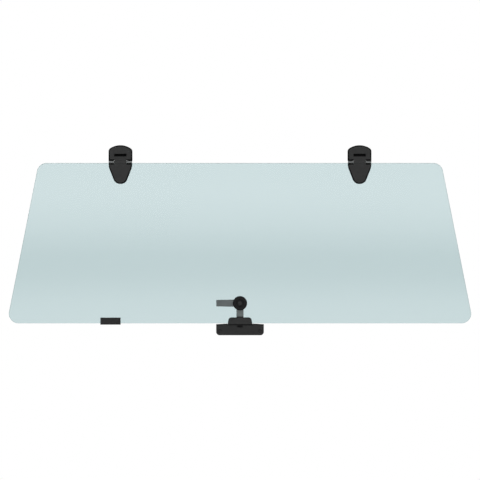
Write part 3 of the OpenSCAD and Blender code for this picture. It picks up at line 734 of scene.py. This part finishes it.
def lathe(mesh, profile, x, z, fluted=(), flutes=0, flute_depth=0.0, steps=48, second_finish=()):
    """Turns a profile of (radius, y) round an axis along Y.

    fluted lists the profile's gripped points, second_finish its bands with the second material.
    """
    rings = []
    for index, (r, y) in enumerate(profile):
        depth = flute_depth if index in fluted else 0.0
        points = []
        for k in range(steps):
            angle = 2 * math.pi * k / steps
            dip = depth * (0.5 - 0.5 * math.cos(flutes * angle))
            points.append(Vector((x, z)) + ray(angle, r - dip))
        rings.append(ring(mesh, points, y))
    for index, (a, b) in enumerate(zip(rings, rings[1:])):
        bridge(mesh, a, b, 1 if index in second_finish else 0)
    mesh.faces.new(rings[0])
    mesh.faces.new(rings[-1])


def threaded(mesh, x, z, start, end, head_r, head_y, r, pitch, depth, steps=24, per_turn=8):
    """A shouldered stud with a rolled thread from start to end."""
    rings = [ring(mesh, circle_outline(x, z, head_r, steps), y) for y in (head_y, start)]
    lead = pitch
    turns = int((end - lead - start) / pitch * per_turn)
    for k in range(turns + 1):
        points = []
        for i in range(steps):
            phase = (k / per_turn + i / steps) % 1.0
            points.append(Vector((x, z)) + ray(2 * math.pi * i / steps, r - depth * abs(2 * phase - 1)))
        rings.append(ring(mesh, points, start + k * pitch / per_turn))
    rings.append(ring(mesh, circle_outline(x, z, r - depth, steps), end - lead / 2))
    rings.append(ring(mesh, circle_outline(x, z, r - 1.5 * depth, steps), end))
    for a, b in zip(rings, rings[1:]):
        bridge(mesh, a, b)
    mesh.faces.new(rings[0])
    mesh.faces.new(rings[-1])


zinc = zinc_plate()
stud_r, stud_head_r, stud_pitch, thread_d = 0.003, 0.0045, 0.001, 0.00045
low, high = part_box("frame_studs")
studs = bmesh.new()
for x, z in grid_of("frame_studs", stud_head_r):
    threaded(studs, x, z, 0.0, high.y, stud_head_r, low.y, stud_r, stud_pitch, thread_d)
place_piece(finish_mesh(studs, "threaded_studs", crease=50.0), "threaded_studs", "frame_side",
            ["frame_studs"], [zinc])


# ---------------------------------------------------------------- clamp screws
# Four M6 button-head screws with hexagon sockets draw each leaf and its back
# plate onto the pane. Forged, rolled and zinc plated.

def hexagon(x, z, across):
    r = across / 2 / math.cos(math.radians(30))
    turns = [math.radians(60 * k) for k in range(6)]
    return [(x + r * math.cos(turn), z + r * math.sin(turn)) for turn in turns]


def clamp_screws():
    head_r, head_h, rim_h, crown_r = 0.00525, 0.0033, 0.0007, 0.0026
    shank_r, lead_in, rim_break = 0.003, 0.0004, 0.0002
    socket, socket_d = 0.004, 0.002
    low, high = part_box("clamp_screws")
    seat = high.y - head_h
    dome_steps = 7
    dome_points = []
    for k in range(dome_steps + 1):
        turn = math.radians(90.0 * k / dome_steps)
        dome_points.append((crown_r + (head_r - crown_r) * math.cos(turn),
                            seat + rim_h + (head_h - rim_h) * math.sin(turn)))
    profile = [(shank_r - lead_in, low.y), (shank_r, low.y + lead_in), (shank_r, seat),
               (head_r - rim_break, seat), (head_r, seat + rim_break)] + dome_points
    centres = grid_of("clamp_screws", head_r)
    mesh = bmesh.new()
    for x, z in centres:
        lathe(mesh, profile, x, z)
    piece = place_piece(finish_mesh(mesh, "button_screws"), "button_screws", "sash",
                        ["clamp_screws"], [zinc])
    for x, z in centres:
        cut_away(piece, rod(hexagon(x, z, socket), high.y - socket_d, high.y + socket_d, "Y"))
    even_shading(piece, crease=35.0)


clamp_screws()


# ---------------------------------------------------------------- plates, nuts and pins
# Stamped plates and washers, cold-formed nuts and turned pins, all plated with
# bright zinc. Their edges are tumbled.

for side in ("left", "right"):
    softened(side + "_back_plate", "sash", zinc, width=0.0003)
    softened(side + "_hinge_pin", "sash", zinc, width=0.0003)
for node, body, width in (("clamp_washers", "sash", 0.00015), ("clamp_nuts", "sash", 0.0003),
                          ("latch_washer", "sash", 0.00015), ("latch_nut", "sash", 0.0004),
                          ("spindle", "lever", 0.0003), ("spindle_clip", "lever", 0.00015),
                          ("strike", "frame_side", 0.0003), ("clamp_pad", "sash", 0.0002),
                          ("drive_pin", "bolt", 0.0003)):
    softened(node, body, zinc, width)
for node in ("knob_screw", "buffer_spring"):
    wear_finish(node, zinc)

low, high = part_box("grub_screws")
grub_r, key, key_d = 0.002, 0.002, 0.0016
sockets = [rod(hexagon(x, (low.z + high.z) / 2, key), high.y - key_d, high.y + key_d, "Y")
           for x in (low.x + grub_r, high.x - grub_r)]
softened("grub_screws", "sash", zinc, width=0.0002, cutters=sockets)


# ---------------------------------------------------------------- white nylon
# Bushes turned from natural nylon line the holes in the pane, so that no
# metal touches the glass.

def white_nylon():
    material, tree, shader = new_finish("white_nylon")
    link(tree, ramp(tree, noise(tree, 120.0, 3.0), [(0.3, (0.74, 0.72, 0.66)), (0.7, (0.80, 0.78, 0.72))]),
         shader.inputs["Base Color"])
    link(tree, ramp(tree, noise(tree, 900.0, 3.0), [(0.3, 0.4), (0.7, 0.55)]), shader.inputs["Roughness"])
    return material


nylon = white_nylon()
for node in ("glass_bushes", "latch_bush"):
    wear_finish(node, nylon)


# ---------------------------------------------------------------- knob
# A black nylon knob, moulded with a finely fluted grip and a ring groove. A
# screw under its plug clamps it and the lever to the spindle. The hinge's
# thrust washers and the bolt's nose are the same nylon.

def black_nylon():
    material, tree, shader = new_finish("black_nylon")
    tone = ramp(tree, noise(tree, 70.0, 4.0),
                [(0.3, (0.0030, 0.0032, 0.0034)), (0.7, (0.0050, 0.0052, 0.0054))])
    link(tree, tone, shader.inputs["Base Color"])
    link(tree, ramp(tree, noise(tree, 1600.0, 2.0), [(0.3, 0.36), (0.7, 0.5)]), shader.inputs["Roughness"])
    shader.inputs["Specular IOR Level"].default_value = 0.22
    return material


def arc(centre_r, centre_y, r, start, end, steps=8):
    """Points (radius, y) along an arc, angles in degrees from straight out towards the front."""
    turns = [math.radians(start + (end - start) * k / steps) for k in range(steps + 1)]
    return [(centre_r + r * math.cos(t), centre_y - r * math.sin(t)) for t in turns]


dark_nylon = black_nylon()


def knob_and_plug():
    low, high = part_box("knob")
    x, z = (low.x + high.x) / 2, (low.z + high.z) / 2
    r = (high.x - low.x) / 2
    edge_r, foot = 0.003, 0.001
    groove_in, groove_out, groove_d, lip = 0.0078, 0.0102, 0.0013, 0.0003
    bore_r, floor_d = 0.00525, 0.0024
    side = [(r - foot, high.y), (r, high.y - foot), (r, low.y + edge_r)]
    shoulder = arc(r - edge_r, low.y + edge_r, edge_r, 0.0, 90.0)[1:]
    face = [(groove_out + lip, low.y), (groove_out, low.y + lip), (groove_out - lip, low.y + groove_d),
            (groove_in + lip, low.y + groove_d), (groove_in, low.y + lip), (groove_in - lip, low.y),
            (bore_r + lip, low.y), (bore_r, low.y + lip), (bore_r, low.y + floor_d)]
    profile = side + shoulder + face
    bore_bands = 5
    textured = range(len(profile) - bore_bands, len(profile))
    grip = bmesh.new()
    lathe(grip, profile, x, z, fluted=(1, 2, 3, 4), flutes=44, flute_depth=0.00035, steps=352,
          second_finish=textured)
    data = finish_mesh(grip, "knob_grip")
    place_piece(data, "knob_grip", "lever", ["knob"], [dark_nylon, moulding])

    low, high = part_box("knob_plug")
    r = (high.x - low.x) / 2
    crown = 0.0003
    cap = [(r, high.y), (r, low.y + 2 * crown)] + arc(r - crown, low.y + 2 * crown, crown, 15.0, 75.0, 4)
    cap += [(r * share, low.y + crown * share * share) for share in (0.8, 0.6, 0.4, 0.2)]
    mesh = bmesh.new()
    lathe(mesh, cap, x, z)
    place_piece(finish_mesh(mesh, "plug_button"), "plug_button", "lever",
                ["knob_plug"], [moulding])


knob_and_plug()
wear_finish("hinge_washers", dark_nylon)
softened("bolt_nose", "bolt", dark_nylon, width=0.0006, segments=3)


# ---------------------------------------------------------------- bolt guide
# A black moulding clipped over the pane's edge and clamped by two grub screws.
# Its front is recessed above a drip lip, with a collar where the bolt enters.

back_spare = 0.001


def moulded_block(outline, front, back, edge_r, kick=0.0, steps=8):
    """A closed block with a rounded front; kick throws the outline's first two corners forwards."""
    mesh = bmesh.new()
    spill = 0.00001
    rings = [ring(mesh, outline(-spill), back)]
    for k in range(steps + 1):
        turn = math.radians(90.0) * k / steps
        inset = edge_r * (1 - math.cos(turn)) - spill
        rings.append(ring(mesh, outline(inset), front + edge_r * (1 - math.sin(turn))))
        if kick:
            for vert in rings[-1][:2]:
                vert.co.y -= kick
    for a, b in zip(rings, rings[1:]):
        bridge(mesh, a, b)
    mesh.faces.new(rings[0])
    last = rings[-1]
    if kick:
        mesh.faces.new(last[2:])
        mesh.faces.new([last[0], last[1], last[2], last[-1]])
    else:
        mesh.faces.new(last)
    return mesh


def guide_mould():
    low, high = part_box("bolt_guide")
    bolt_low, bolt_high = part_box("lock_bolt")
    top_half, corner_r, collar, collar_r = 0.029, 0.008, 0.0024, 0.0008
    lip_h, lip_out, edge_r = 0.0026, 0.0008, 0.0024
    foot_share, least_r = 0.1, 0.0001
    foot_half = (high.x - low.x) / 2
    bolt_half = (bolt_high.x - bolt_low.x) / 2
    top = high.z - collar
    lean = (foot_half - top_half) / (top - low.z)

    def outline(inset):
        foot = low.z + foot_share * inset
        half = [foot_half - lean * (z - low.z) - inset for z in (foot, low.z + lip_h, top - inset)]
        bolt = bolt_half - inset
        corners = [(-half[0], foot), (half[0], foot), (half[1], low.z + lip_h), (half[2], top - inset),
                   (bolt, top - inset), (bolt, high.z - inset), (-bolt, high.z - inset), (-bolt, top - inset),
                   (-half[2], top - inset), (-half[1], low.z + lip_h)]
        r, c = corner_r - inset, max(collar_r - inset, least_r)
        return rounded(corners, [0, 0, 0, r, 0, c, c, 0, r, 0], 16)

    return moulded_block(outline, low.y + lip_out, high.y + back_spare, edge_r, lip_out)


guide = softened("bolt_guide", "sash", moulding, width=0.0002, face_mould=guide_mould())
# Painted shade: the guide's faces turned more than about 18 degrees from the front take the darker rim
# finish.
guide_face_on = 0.95
refinish(guide, painted_rim_shade, lambda face: turned_away(face, guide_face_on))


# ---------------------------------------------------------------- keeper
# A deep black moulding screwed to the panel from behind, with a seat under the
# guide, a notch in front of the bolt and a shallow dimple near each end.

def keeper_mould():
    low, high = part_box("keeper")
    seat_half, rise, crown, corner_r, edge_r = 0.0327, 0.0016, 0.0016, 0.009, 0.0026
    foot_share = 0.15
    half = (high.x - low.x) / 2
    seat = high.z - rise

    def outline(inset):
        side, step = half - inset, seat_half + inset
        foot = low.z + foot_share * inset
        corners = [(-side, foot), (side, foot), (side, high.z - crown - inset),
                   (step, high.z - inset), (step, seat - inset), (-step, seat - inset),
                   (-step, high.z - inset), (-side, high.z - crown - inset)]
        r = corner_r - inset
        return rounded(corners, [r, r, 0, 0, 0, 0, 0, 0], 16)

    return moulded_block(outline, low.y, high.y + back_spare, edge_r)


def dimple(x, y, z, r, depth):
    """A shallow round hollow in a front face."""
    mesh = bmesh.new()
    lathe(mesh, [(r, y - depth), (r, y), (r * 0.9, y + depth * 0.6), (r * 0.7, y + depth)], x, z)
    return mesh


keeper_black = black_moulding("keeper_moulding", ((0.0100, 0.0104, 0.0106), (0.0135, 0.0139, 0.0141)))
low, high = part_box("keeper")
dimple_x, dimple_rise, dimple_r, dimple_d = 0.052, 0.0113, 0.0042, 0.0006
dimples = [dimple(side * dimple_x, low.y, low.z + dimple_rise, dimple_r, dimple_d) for side in (-1, 1)]
keeper = softened("keeper", "frame_side", keeper_black, width=0.0002,
                  face_mould=keeper_mould(), cutters=dimples)
# Painted shade: the keeper's rims, and every face more than 3 mm behind its front such as the inside of the
# notch, take the darker rim finish.
notch_wall = low.y + 0.003
refinish(keeper, painted_rim_shade, lambda face: turned_away(face) or face.center.y > notch_wall)


# ---------------------------------------------------------------- inserts
# Two turned brass inserts, pressed into the back of the keeper. They take the
# screws that come through the panel from behind.

def turned_brass():
    material, tree, shader = new_finish("turned_brass")
    shader.inputs["Metallic"].default_value = 1.0
    link(tree, ramp(tree, noise(tree, 200.0, 3.0), [(0.3, (0.62, 0.45, 0.20)), (0.7, (0.74, 0.56, 0.28))]),
         shader.inputs["Base Color"])
    link(tree, ramp(tree, noise(tree, 1400.0, 3.0), [(0.3, 0.28), (0.7, 0.42)]), shader.inputs["Roughness"])
    return material


wear_finish("keeper_inserts", turned_brass())


# ---------------------------------------------------------------- close
# The picture keeps its plain colours.

bpy.context.scene.view_settings.view_transform = "Standard"
